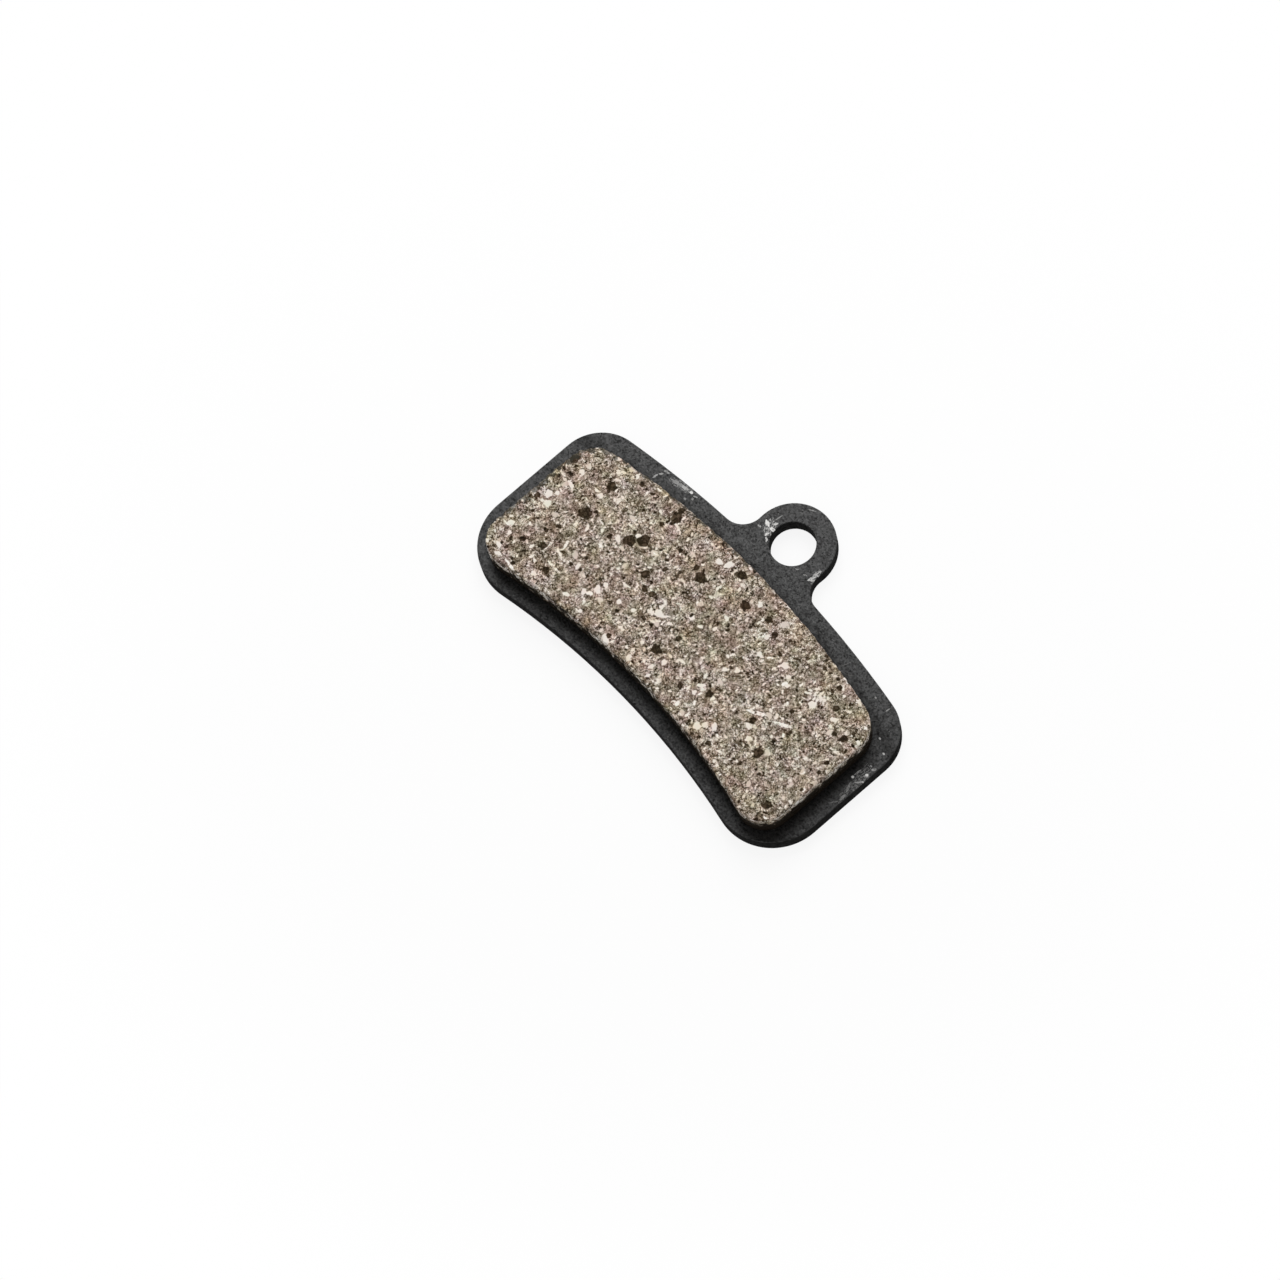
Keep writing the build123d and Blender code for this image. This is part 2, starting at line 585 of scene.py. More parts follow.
@dataclass(frozen=True)
class PlateCoat:
    """Black satin coat of the backing plate, rubbed pale in a few places."""

    dark: Colour = (0.0030, 0.0029, 0.0027)
    light: Colour = (0.0110, 0.0106, 0.0100)
    dust_colour: Colour = (0.30, 0.29, 0.27)
    rubbed: Colour = (0.80, 0.79, 0.77)
    roughness: float = 0.6
    # Share of the sheen on the flat faces, how far it varies, and what is left of it on the cut walls
    sheen: float = 0.51
    sheen_spread: float = 2.4
    sheen_on_walls: float = 0.10
    sheen_roughness: float = 0.42
    sheen_index: float = 1.75
    # Uprightness of the normal where a wall turns into a flat face
    flat: Range = (0.08, 0.50)
    grain_pitch: float = 0.25
    grain_strength: float = 0.35
    grain_depth: float = 0.02
    # Share of the unevenness that lies in broad patches, and how fine these are
    mottling: float = 0.30
    mottle_scale: float = 1.5
    dust: Speckle = Speckle(0.62, 0.14, 0.60, 0.30)
    dust_cover: float = 0.30
    hairs: Strands = Strands(2.2, 0.012, 0.40, 0.12)
    # Share of the sheen that painted shade takes along the block's far arc, how wide it lies, and how its
    # edge sways
    foot_shade: float = 0.50
    foot_shade_width: float = 1.35
    foot_shade_sway: float = 1.6
    foot_shade_scale: float = 1.2
    # Radius of the block's far arc, and how far under the block the painted shade starts
    far_arc: float = 87.0
    foot_shade_start: float = -0.6
    scuffs: Tuple[Scuff, ...] = (
        Scuff(-2.60, -0.40, 1.10, 0.75, -60.0, 0.53, 0.50),
        Scuff(3.80, -0.60, 1.00, 0.45, -75.0, 0.54, 0.42),
        Scuff(-11.10, -3.40, 1.70, 0.50, 12.0, 0.55, 0.30),
        Scuff(20.75, -10.40, 1.90, 0.75, -75.0, 0.53, 0.18),
        Scuff(20.80, -12.40, 1.30, 0.45, -72.0, 0.52, 0.12),
        Scuff(-3.05, -0.28, 0.46, 0.20, -22.0, 0.64),
        Scuff(-2.30, -0.36, 0.36, 0.20, 14.0, 0.64),
        Scuff(-2.48, 0.16, 0.30, 0.13, 64.0, 0.62, 0.80),
        Scuff(-2.31, -1.02, 0.28, 0.16, 76.0, 0.62, 0.90),
        Scuff(-1.95, -1.40, 0.30, 0.13, -40.0, 0.62, 0.75),
        Scuff(-2.74, 0.75, 0.46, 0.07, 84.0, 0.66, 0.30),
        Scuff(-3.34, -0.97, 0.24, 0.11, 10.0, 0.64, 0.45),
        Scuff(3.66, -1.00, 0.46, 0.16, 74.0, 0.63, 0.70),
        Scuff(3.84, -1.05, 0.34, 0.14, 40.0, 0.62, 0.62),
        Scuff(3.60, -0.42, 0.34, 0.12, 66.0, 0.62, 0.60),
        Scuff(3.86, -0.45, 0.32, 0.10, 20.0, 0.64, 0.60),
        Scuff(3.68, -0.02, 0.22, 0.10, 60.0, 0.64, 0.55),
        Scuff(2.07, -1.32, 0.22, 0.10, 36.0, 0.62, 0.30),
        Scuff(3.00, -1.19, 0.24, 0.08, 20.0, 0.62, 0.30),
        Scuff(-1.25, 3.35, 0.55, 0.07, 32.0, 0.62, 0.30),
        Scuff(-13.45, -4.45, 0.32, 0.11, 84.0, 0.66, 0.42),
        Scuff(-13.25, -3.95, 0.26, 0.11, 45.0, 0.66, 0.42),
        Scuff(-13.05, -3.47, 0.40, 0.16, 17.0, 0.60, 0.34),
        Scuff(-11.55, -3.48, 0.55, 0.18, 14.0, 0.62, 0.34),
        Scuff(-10.72, -3.32, 0.46, 0.20, 13.0, 0.66, 0.55),
        Scuff(-9.99, -3.19, 0.20, 0.15, 20.0, 0.74, 0.95),
        Scuff(-9.40, -3.20, 0.32, 0.09, 26.0, 0.64, 0.40),
        Scuff(-9.92, -4.02, 0.18, 0.12, 0.0, 0.64, 0.30),
        Scuff(-9.45, -3.54, 0.18, 0.12, 0.0, 0.64, 0.34),
        Scuff(20.60, -11.75, 0.72, 0.14, -66.0, 0.62, 0.26),
        Scuff(20.95, -12.72, 0.48, 0.16, -76.0, 0.62, 0.24),
        Scuff(20.75, -13.60, 0.62, 0.09, 58.0, 0.62, 0.14),
        Scuff(20.14, -10.85, 0.15, 0.13, 0.0, 0.76, 0.95),
        Scuff(20.12, -10.25, 0.42, 0.10, 86.0, 0.64, 0.42),
        Scuff(20.86, -9.85, 0.17, 0.14, 46.0, 0.76, 0.95),
        Scuff(20.88, -10.80, 0.44, 0.11, 49.0, 0.64, 0.40),
        Scuff(20.90, -9.98, 0.32, 0.10, 38.0, 0.62, 0.40),
        Scuff(21.10, -10.55, 0.16, 0.12, 0.0, 0.68, 0.60),
        Scuff(20.92, -9.05, 0.26, 0.15, 60.0, 0.60, 0.45),
        Scuff(20.50, -8.99, 0.14, 0.11, 0.0, 0.64, 0.35),
        Scuff(20.40, -7.46, 0.14, 0.10, 0.0, 0.74, 0.55),
        Scuff(17.60, -4.45, 0.34, 0.07, 83.0, 0.70, 0.30),
        Scuff(19.10, -6.75, 0.14, 0.10, 0.0, 0.74, 0.40),
        Scuff(16.00, -4.45, 0.12, 0.08, 0.0, 0.74, 0.30),
    )

    def material(self, effects: SharedEffects) -> bpy.types.Material:
        """Makes the coat's material.

        Args:
            effects: the shared node groups.

        Returns:
            The material for the plate's slot.
        """
        sheet = FinishSheet(Slot.PLATE_COAT.value, effects)
        grain = sheet.grain(self.grain_pitch).outputs
        normal = sheet.node("ShaderNodeNewGeometry").outputs["Normal"]
        flat = sheet.step(sheet.math("ABSOLUTE", sheet.dot(normal, UP)), *self.flat)
        rubbed = sheet.times(all_strokes(self.scuffs, sheet), flat)

        broad = sheet.noise(sheet.position, self.mottle_scale, detail=3.0, rough=0.65)
        tone = sheet.plus(sheet.times(grain["Tone"], 1.0 - self.mottling), sheet.times(broad, self.mottling))
        specks = sheet.times(self.dust.strewn(sheet).outputs["Mask"], self.dust_cover)
        specks = sheet.math("MAXIMUM", specks, self.hairs.mask(sheet))
        colour = sheet.blend(specks, sheet.blend(tone, self.dark, self.light), self.dust_colour)
        sheet.give("Base Color", sheet.blend(rubbed, colour, self.rubbed))

        least = self.sheen * (1.0 - self.sheen_spread)
        most = self.sheen * (1.0 + self.sheen_spread)
        shine = sheet.spread(tone, least, most)
        # The coat's sheen is dimmed along the block's far foot as painted shade.
        kept = sheet.times(sheet.spread(flat, self.sheen_on_walls, 1.0), self._unshaded(sheet))
        sheet.give("Coat Weight", sheet.math("MULTIPLY", shine, kept, clamp=True))
        sheet.give("Coat Roughness", self.sheen_roughness)
        sheet.give("Coat IOR", self.sheen_index)
        sheet.give("Specular IOR Level", 0.0)
        sheet.give("Roughness", self.roughness)
        sheet.give_relief(grain["Height"], self.grain_strength, self.grain_depth)
        return sheet.material

    def _unshaded(self, sheet: FinishSheet) -> Socket:
        """Finds how much of the coat's sheen is left where painted shade dims it along the block's far foot.

        Args:
            sheet: the coat's nodes.

        Returns:
            1 on the open coat, and less along the block's far arc, where painted shade dims the sheen.
        """
        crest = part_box(CadNode.BLOCK.value)[1].y / MM
        level = sheet.vector("MULTIPLY", sheet.position, (1.0, 1.0, 0.0))
        spoke = sheet.vector("SUBTRACT", level, (0.0, crest - self.far_arc, 0.0))
        beyond = sheet.minus(sheet.length(spoke), self.far_arc)
        sway = sheet.swing(sheet.noise(sheet.position, self.foot_shade_scale), self.foot_shade_sway)
        # Painted shade: the sheen fades out toward the block's far foot.
        fading = sheet.step(sheet.plus(beyond, sway), self.foot_shade_width, 0.0)
        foot_shaded = sheet.times(fading, sheet.step(beyond, self.foot_shade_start, 0.0))
        return sheet.minus(1.0, sheet.times(foot_shaded, self.foot_shade))


@dataclass(frozen=True)
class Tinge:
    """Patches of another hue: colour, pitch, and strength over the face and at its rim."""

    colour: Colour
    pitch: float
    over_face: float
    at_rim: float


@dataclass(frozen=True)
class RimSmudge:
    """Coat that ran over the rim: colour, strength, share of the coat's sway, and where it sets in."""

    colour: Colour
    strength: float
    sway: float
    # Distance inward where it fades in, and the stretch along the pad where it does
    inward: Range
    along: Range


@dataclass(frozen=True)
class Overspray:
    """The plate's black coat on the block's walls, which fades out below the ground face."""

    dark: Colour = (0.0062, 0.0045, 0.0030)
    light: Colour = (0.0230, 0.0170, 0.0115)
    grain_pitch: float = 0.3
    # Scale of the sway of its edge, and how far it sways at the crisp rim and at the crumbly one
    sway_scale: float = 1.7
    crisp_sway: float = 2.8
    loose_sway: float = 7.5
    # How much higher it reaches for each millimetre along the pad, and on the near side
    lean: float = 0.022
    near_rise: float = 0.13
    # Its edge may lie at most this many times as deep as the wall is there, so that the face stays bare
    steepest: float = 4.0
    # Depths over which the brown stain and the coat itself come up
    stain: Colour = (0.160, 0.130, 0.088)
    stain_strength: float = 0.6
    stain_depth: Range = (0.34, 0.80)
    coat_depth: Range = (0.68, 1.12)
    # How much further onto the face it drifted at the left end, and the stretch where it did
    drift: float = 0.28
    drift_along: Range = (-15.5, -19.0)
    far_smudge: RimSmudge = RimSmudge((0.046, 0.044, 0.033), 0.80, 0.41, (0.24, -0.04), (9.0, -3.0))
    near_smudge: RimSmudge = RimSmudge((0.045, 0.036, 0.026), 0.85, -0.34, (-0.04, -0.30), (-16.5, -13.5))

    def cover(self, sheet: FinishSheet, colour: Socket, below: Socket, far_side: Socket) -> Socket:
        """Sprays the block.

        Args:
            sheet: the compound's nodes.
            colour: colour of the bare compound.
            below: depth below the ground face.
            far_side: 1 on the block's far side and 0 on its near side.

        Returns:
            The colour with the overspray on it.
        """
        along = sheet.dot(sheet.position, ALONG)
        loose = sheet.step(along, CRISP_END, CRISP_START)
        near_side = sheet.times(sheet.minus(1.0, far_side), loose)
        ragged = sheet.noise(sheet.position, self.sway_scale, detail=4.0, rough=0.66)
        sway = sheet.swing(ragged, sheet.spread(loose, self.crisp_sway, self.loose_sway))
        lean = sheet.times(along, self.lean, loose)
        edge = sheet.plus(below, sway, lean, sheet.times(near_side, self.near_rise))
        edge = sheet.math("MINIMUM", edge, sheet.times(below, self.steepest))
        stained = sheet.times(sheet.step(edge, *self.stain_depth), self.stain_strength)
        colour = sheet.blend(stained, colour, self.stain)

        drift = sheet.times(sheet.step(along, *self.drift_along), self.drift)
        inward = sheet.minus(sheet.mark(Mark.RIM_DISTANCE), drift)
        for smudge, side in ((self.far_smudge, far_side), (self.near_smudge, near_side)):
            reached = sheet.step(sheet.plus(inward, sheet.times(sway, smudge.sway)), *smudge.inward)
            present = sheet.times(side, sheet.step(along, *smudge.along), smudge.strength)
            colour = sheet.blend(sheet.times(reached, present), colour, smudge.colour)
        coat = sheet.blend(sheet.grain(self.grain_pitch).outputs["Tone"], self.dark, self.light)
        return sheet.blend(sheet.step(edge, *self.coat_depth), colour, coat)


@dataclass(frozen=True)
class FrictionCompound:
    """Ground friction compound: grains, flakes and pits in a grey-brown resin, with coat on its walls."""

    # Tones from the darkest grain to the brightest flake, by how light they look
    tones: Tuple[Tuple[float, Colour], ...] = (
        (0.10, (0.016, 0.011, 0.006)),
        (0.21, (0.046, 0.030, 0.016)),
        (0.30, (0.102, 0.072, 0.048)),
        (0.42, (0.192, 0.143, 0.102)),
        (0.53, (0.301, 0.237, 0.180)),
        (0.64, (0.443, 0.356, 0.285)),
        (0.76, (0.628, 0.520, 0.428)),
        (0.88, (0.855, 0.755, 0.662)),
        (0.98, (0.985, 0.945, 0.885)),
    )
    middle_tone: float = 0.528
    # Chips, crumbs, clouds, dust and grinding marks: how strong they are, and their pitch in millimetres
    chip_contrast: float = 0.22
    crumb_contrast: float = 0.44
    cloud_contrast: float = 0.42
    dust_contrast: float = 1.30
    grind_contrast: float = 0.16
    chip_pitch: float = 0.36
    crumb_pitch: float = 0.16
    cloud_scale: float = 0.55
    dust_pitch: float = 0.10
    # Turn of the grinding marks, and how they are drawn out along and across it
    grind_turn: float = 24.0
    grind_scale: Tuple[float, float, float] = (0.35, 7.0, 1.0)
    # How finely and how far the chips' outlines are bent
    bend_scale: float = 5.5
    bend: float = 0.16
    # How far the contrast itself changes from calm to busy patches, and where and how broad these are
    calm: float = 0.34
    busy: float = 1.92
    patch_shift: Tuple[float, float] = (0.0, 60.0)
    patch_scale: float = 0.45
    speckles: Tuple[Speckle, ...] = (
        Speckle(0.38, 0.46, 0.60, 0.46, 0.60, 1.00),
        Speckle(0.38, 0.44, 0.55, 0.42, 0.42, 0.16),
        Speckle(0.80, 0.38, 0.50, 0.52, 0.36, 0.14),
        Speckle(0.70, 0.44, 0.55, 0.60, 0.70, 1.00),
        Speckle(1.30, 0.38, 0.60, 0.50, 0.80, 1.00),
    )
    threads: Strands = Strands(0.8, 0.030, 0.41, 0.22)
    cracks: Strands = Strands(0.9, 0.024, 0.41, -0.20, (3.0, 40.0))
    # Pale fibres that lie in the ground face
    fibres: Tuple[Scuff, ...] = (
        Scuff(10.7, -13.4, 1.05, 0.20, 30.0, 0.74, 0.58),
        Scuff(13.1, -12.5, 1.00, 0.18, 27.0, 0.76, 0.60),
        Scuff(-12.2, -17.2, 0.95, 0.15, 0.0, 0.76, 0.48),
        Scuff(-14.9, -19.9, 0.95, 0.15, -8.0, 0.76, 0.44),
    )
    tinges: Tuple[Tinge, ...] = (
        Tinge((1.00, 0.95, 0.70), 2.3, 0.24, 0.50),
        Tinge((1.00, 0.86, 0.79), 2.0, 0.32, 0.32),
        Tinge((0.90, 1.00, 0.94), 1.3, 0.45, 0.20),
    )
    # Range of the noise over which a tinge comes up, its shift against the one before it, and the rim's width
    tinge_range: Range = (0.50, 0.66)
    tinge_shift: Tuple[float, float] = (31.0, 7.0)
    tinge_level: float = 3.0
    rim_width: float = 1.5
    hue_drift: float = 0.17
    hue_scale: float = 0.75
    # How the marks of the mesh are frayed, and over which of their values they come up
    fray: float = 0.5
    fray_scale: float = 8.0
    flake_range: Range = (0.16, 0.58)
    grain_range: Range = (0.28, 0.66)
    # Tone of the large flakes, loss of tone in pits, and tone of the dark grains and how far it varies
    flake_tone: float = 0.93
    pit_shade: float = 0.22
    grain_tone: float = 0.180
    grain_texture: float = 0.30
    # Direction to the block's far side, and where along it the near side turns into the far one
    far_direction: Tuple[float, float, float] = (-0.25, 1.0, 0.0)
    far_range: Range = (-13.5, -11.5)
    # How much lighter and rougher the bare compound at the top of the near wall is, and where that sets in
    wall_lift: float = 0.03
    wall_contrast: float = 1.2
    wall_depth: Range = (0.12, 0.32)
    # Tones over which the dull resin turns into bright flakes, and how rough both are
    bright_range: Range = (0.70, 0.92)
    dull_roughness: float = 0.78
    bright_roughness: float = 0.42
    specular: float = 0.05
    relief_strength: float = 0.5
    relief_depth: float = 0.04
    overspray: Overspray = Overspray()

    def material(self, effects: SharedEffects, top: float) -> bpy.types.Material:
        """Makes the compound's material.

        Args:
            effects: the shared node groups.
            top: height of the ground face in millimetres.

        Returns:
            The material for the block.
        """
        sheet = FinishSheet(Slot.COMPOUND.value, effects)
        below = sheet.minus(top, sheet.dot(sheet.position, UP))
        far_side = sheet.step(sheet.dot(sheet.position, self.far_direction), *self.far_range)
        near_wall = sheet.times(sheet.step(below, *self.wall_depth), sheet.minus(1.0, far_side))
        resin = self._mottle(sheet)
        tone = self._speckled(sheet, resin)
        change = sheet.plus(sheet.swing(tone, self.wall_contrast, self.middle_tone), self.wall_lift)
        tone = self._marked(sheet, sheet.plus(tone, sheet.times(near_wall, change)))
        colour = self._tint(sheet, sheet.ramp(tone, self.tones))
        sheet.give("Base Color", self.overspray.cover(sheet, colour, below, far_side))

        bright = sheet.step(tone, *self.bright_range)
        sheet.give("Roughness", sheet.spread(bright, self.dull_roughness, self.bright_roughness))
        sheet.give("Specular IOR Level", self.specular)
        sheet.give_relief(resin, self.relief_strength, self.relief_depth)
        return sheet.material

    def _mottle(self, sheet: FinishSheet) -> Socket:
        """Mixes chips, crumbs, clouds, dust and grinding marks into the resin's tone.

        Args:
            sheet: the compound's nodes.

        Returns:
            The tone, from dark at 0 to bright at 1.
        """
        shift = sheet.vector("SUBTRACT", sheet.hues(sheet.position, self.bend_scale), (0.5, 0.5, 0.5))
        bent = sheet.vector("ADD", sheet.position, sheet.grow(shift, self.bend))
        turned = sheet.turned(sheet.position, math.radians(-self.grind_turn))
        strokes = sheet.vector("MULTIPLY", turned, self.grind_scale)
        layers = (
            (sheet.parts(sheet.cells(bent, 1.0 / self.chip_pitch))[0], self.chip_contrast),
            (sheet.parts(sheet.cells(bent, 1.0 / self.crumb_pitch))[1], self.crumb_contrast),
            (sheet.noise(sheet.position, self.cloud_scale, detail=3.0, rough=0.6), self.cloud_contrast),
            (sheet.grain(self.dust_pitch).outputs["Tone"], self.dust_contrast),
            (sheet.noise(strokes, 1.0, detail=1.0), self.grind_contrast),
        )
        change = sheet.plus(0.0, *(sheet.swing(layer, contrast) for layer, contrast in layers))
        patches = sheet.noise(sheet.moved(*self.patch_shift), self.patch_scale)
        change = sheet.times(change, sheet.spread(patches, self.calm, self.busy))
        return sheet.plus(change, self.middle_tone)

    def _speckled(self, sheet: FinishSheet, tone: Socket) -> Socket:
        """Strews flakes, pores, threads, cracks and fibres over the resin.

        Args:
            sheet: the compound's nodes.
            tone: the resin's tone.

        Returns:
            The tone with all of them in it.
        """
        for number, speckle in enumerate(self.speckles):
            strewn = speckle.strewn(sheet, number).outputs
            own = sheet.spread(strewn["Tone"], speckle.first_tone, speckle.last_tone)
            tone = sheet.toward(tone, own, strewn["Mask"])
        return sheet.plus(
            tone, self.threads.mask(sheet), self.cracks.mask(sheet), all_strokes(self.fibres, sheet))

    def _marked(self, sheet: FinishSheet, tone: Socket) -> Socket:
        """Adds the flakes, pits and dark grains that the mesh carries.

        Args:
            sheet: the compound's nodes.
            tone: tone of the compound between them.

        Returns:
            The tone with all of them in it.
        """
        frayed = sheet.swing(sheet.noise(sheet.position, self.fray_scale, detail=1.0), self.fray)
        flake = sheet.step(sheet.plus(sheet.mark(Mark.PALE_FLAKE), frayed), *self.flake_range)
        grain = sheet.step(sheet.plus(sheet.mark(Mark.DARK_GRAIN), frayed), *self.grain_range)
        tone = sheet.toward(tone, self.flake_tone, flake)
        tone = sheet.minus(tone, sheet.times(sheet.mark(Mark.PIT), self.pit_shade))
        return sheet.toward(tone, sheet.plus(self.grain_tone, sheet.swing(tone, self.grain_texture)), grain)

    def _tint(self, sheet: FinishSheet, colour: Socket) -> Socket:
        """Adds patches of other hues, some of them stronger near the rim.

        Args:
            sheet: the compound's nodes.
            colour: colour so far.

        Returns:
            The tinted colour.
        """
        near_rim = sheet.step(sheet.mark(Mark.RIM_DISTANCE), self.rim_width, 0.0)
        for number, tinge in enumerate(self.tinges):
            own_place = sheet.moved(*(number * shift for shift in self.tinge_shift), self.tinge_level)
            patches = sheet.noise(own_place, 1.0 / tinge.pitch, detail=3.0, rough=0.6)
            reach = sheet.spread(near_rim, tinge.over_face, tinge.at_rim)
            strength = sheet.times(sheet.step(patches, *self.tinge_range), reach)
            colour = sheet.blend(strength, colour, tinge.colour, "MULTIPLY")
        return sheet.blend(self.hue_drift, colour, sheet.hues(sheet.position, self.hue_scale), "OVERLAY")


@dataclass(frozen=True)
class Spot:
    """A grain, flake or pit in the ground face: its middle, half length, slimness, turn and strength."""

    x: float
    y: float
    reach: float
    slimness: float = 1.0
    turn: float = 0.0
    strength: float = 1.0


@dataclass(frozen=True)
class Strewing:
    """Spots thrown at random: how many, smallest and largest half length, and least slimness."""

    count: int
    small: float
    large: float
    slimmest: float


@dataclass
class FrictionBlock:
    """Ground block of friction compound, with its grains, flakes, pits and crumbled rim in the mesh."""

    columns: int = 420
    rows: int = 150
    rim_rows: int = 4
    wall_rows: int = 16
    seed: int = 4172
    # The ground plane lies this far below the flakes that stand highest
    ground_drop: float = 0.022
    ground_relief: float = 0.016
    # Scales of the coarse and the fine lumps of the face and the walls, and the strength of the fine ones
    face_lumps: Range = (4.0, 8.5)
    face_levels: Range = (0.3, 1.7)
    wall_lumps: Range = (2.6, 6.5)
    fine_share: float = 0.6
    # Mean depth of the walls' lumps, how far it varies and its limit, as shares of their relief
    wall_relief: float = 0.085
    wall_middle: float = 0.45
    wall_swing: float = 0.5
    wall_limit: float = 1.2
    # Chips out of the rim: smallest reach, how much larger they may be, and how far down they start
    chip_count: int = 260
    chip_small: float = 0.12
    chip_more: float = 0.30
    chip_band: float = 0.1
    # How deep they bite downward and inward, as shares of their reach
    chip_drop: float = 0.45
    chip_inset: float = 0.40
    # Share of the walls' lumps and of the chips' reach that the crisp rim is free of
    crisp_walls: float = 0.5
    crisp_chips: float = 0.35
    # Spots thrown over the face, how much likelier small ones are, and how weak the weakest is
    loose_flakes: Strewing = Strewing(310, 0.14, 0.42, 0.30)
    pits: Strewing = Strewing(500, 0.10, 0.26, 0.40)
    small_grains: Strewing = Strewing(210, 0.15, 0.30, 0.60)
    smallness: float = 2.2
    weakest: float = 0.25
    # How far flakes stand up, and how far pits and grains are sunk
    flake_rise: float = 0.014
    pit_depth: float = 0.06
    grain_depth: float = 0.045
    # Slimness of the large grains, and the turn of each listed spot for each millimetre along the pad
    grain_slimness: float = 0.86
    listed_turn: float = 1.3
    # How dark a grain without strength is, and how much darker strength makes it
    grain_least: float = 0.45
    grain_more: float = 0.6
    # How uneven a spot's outline is, and shares of its reach over which its edge comes up
    lobe: float = 0.09
    spot_edge: Range = (1.2, 0.72)
    spot_search: float = 1.4
    # Middle, half length and slimness of the larger pale flakes
    pale_flakes: Tuple[Tuple[float, float, float, float], ...] = (
        (-7.8, -15.8, 0.45, 0.55),
        (-7.6, -15.0, 0.30, 0.70),
        (-10.7, -15.6, 0.32, 0.60),
        (-9.4, -18.1, 0.34, 0.50),
        (-5.6, -15.2, 0.26, 0.80),
        (-2.3, -13.4, 0.42, 0.80),
        (-2.1, -14.3, 0.25, 0.40),
        (-2.7, -12.3, 0.30, 0.35),
        (-1.7, -13.2, 0.38, 0.30),
        (-3.0, -13.7, 0.36, 0.35),
        (-2.6, -12.9, 0.26, 0.50),
        (-1.8, -13.9, 0.24, 0.35),
        (-3.4, -13.1, 0.20, 0.45),
        (-1.4, -13.6, 0.18, 0.50),
        (-1.5, -5.9, 0.46, 0.60),
        (-2.3, -6.3, 0.36, 0.70),
        (1.5, -16.1, 0.30, 0.80),
        (1.0, -17.2, 0.28, 0.70),
        (-1.0, -18.1, 0.34, 0.60),
        (5.4, -15.2, 0.42, 0.40),
        (8.4, -17.4, 0.30, 0.80),
        (9.1, -16.9, 0.36, 0.70),
        (-4.1, -14.8, 0.24, 0.80),
        (2.2, -9.4, 0.30, 0.60),
        (5.7, -12.7, 0.24, 0.80),
        (-17.3, -9.4, 0.32, 0.70),
        (-17.1, -10.9, 0.46, 0.40),
        (-17.8, -12.9, 0.40, 0.80),
        (-17.3, -12.3, 0.24, 0.80),
        (-17.2, -19.3, 0.36, 0.50),
        (-16.6, -19.9, 0.34, 0.50),
        (-13.0, -15.0, 0.50, 0.25),
        (-12.9, -12.6, 0.36, 0.40),
        (-10.2, -11.3, 0.40, 0.50),
        (-19.0, -14.9, 0.26, 0.80),
        (12.4, -8.6, 0.18, 0.60),
        (12.7, -8.1, 0.24, 0.50),
        (13.0, -8.6, 0.20, 0.60),
        (13.3, -8.1, 0.28, 0.50),
        (13.2, -8.9, 0.18, 0.60),
        (13.7, -8.5, 0.24, 0.50),
        (14.0, -8.0, 0.18, 0.60),
        (12.3, -9.0, 0.22, 0.50),
        (12.9, -8.35, 0.22, 0.40),
        (13.5, -8.8, 0.22, 0.50),
        (13.9, -8.35, 0.20, 0.50),
        (13.45, -8.4, 0.18, 0.70),
        (12.6, -8.8, 0.18, 0.60),
        (6.0, -8.0, 0.30, 0.70),
    )
    # Middle and half width of the large dark grains
    dark_grains: Tuple[Tuple[float, float, float], ...] = (
        (-18.8, -9.0, 0.52),
        (-14.4, -8.4, 0.50),
        (-8.1, -6.3, 0.58),
        (-8.3, -5.5, 0.34),
        (-8.5, -9.8, 0.63),
        (-9.4, -10.7, 0.60),
        (-14.1, -11.8, 0.66),
        (-6.0, -11.8, 0.42),
        (-2.3, -8.5, 0.60),
        (-3.3, -8.1, 0.30),
        (0.1, -5.7, 0.46),
        (2.4, -7.4, 0.50),
        (4.9, -6.8, 0.38),
        (6.3, -7.4, 0.36),
        (-4.1, -12.6, 0.36),
        (-4.9, -12.8, 0.28),
        (0.1, -15.8, 0.52),
        (0.7, -13.7, 0.32),
        (4.1, -16.5, 0.30),
        (6.5, -15.2, 0.38),
        (13.6, -15.8, 0.50),
        (13.7, -14.0, 0.26),
        (17.8, -9.5, 0.40),
        (16.9, -9.8, 0.26),
        (14.0, -6.6, 0.30),
        (15.2, -8.1, 0.34),
        (-14.4, -16.5, 0.38),
        (-12.4, -17.9, 0.38),
        (-16.1, -17.4, 0.28),
        (17.8, -18.4, 0.42),
        (9.9, -18.3, 0.28),
        (-18.4, -13.7, 0.32),
        (11.0, -14.1, 0.36),
        (-12.7, -6.3, 0.28),
        (-10.9, -11.7, 0.28),
    )

    def __post_init__(self) -> None:
        """Reads the block's size from the frame."""
        self.low, self.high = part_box(CadNode.BLOCK.value)
        self.foot = self.low.z / MM
        self.top = self.high.z / MM
        self.random = np.random.default_rng(self.seed)

    def _face_edges(self) -> Tuple[np.ndarray, np.ndarray]:
        """Reads the ground face's outline from the CAD block.

        Returns:
            The lower and the upper edge from left to right, as rows of x and y.
        """
        close = 0.001
        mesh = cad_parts[CadNode.BLOCK.value].data
        places = np.array([v.co for v in mesh.vertices]) / MM
        ring = np.unique(places[places[:, 2] > self.top - close][:, :2].round(5), axis=0)
        on_end = np.abs(ring[:, 0]) > ring[:, 0].max() - close
        level = ring[on_end][:, 1]
        low_end, high_end = level.min(), level.max()
        split = 0.5 * (low_end + high_end)
        upper = ring[(ring[:, 1] > split) & ~(on_end & (ring[:, 1] < high_end - close))]
        lower = ring[(ring[:, 1] <= split) & ~(on_end & (ring[:, 1] > low_end + close))]
        return lower[np.argsort(lower[:, 0])], upper[np.argsort(upper[:, 0])]

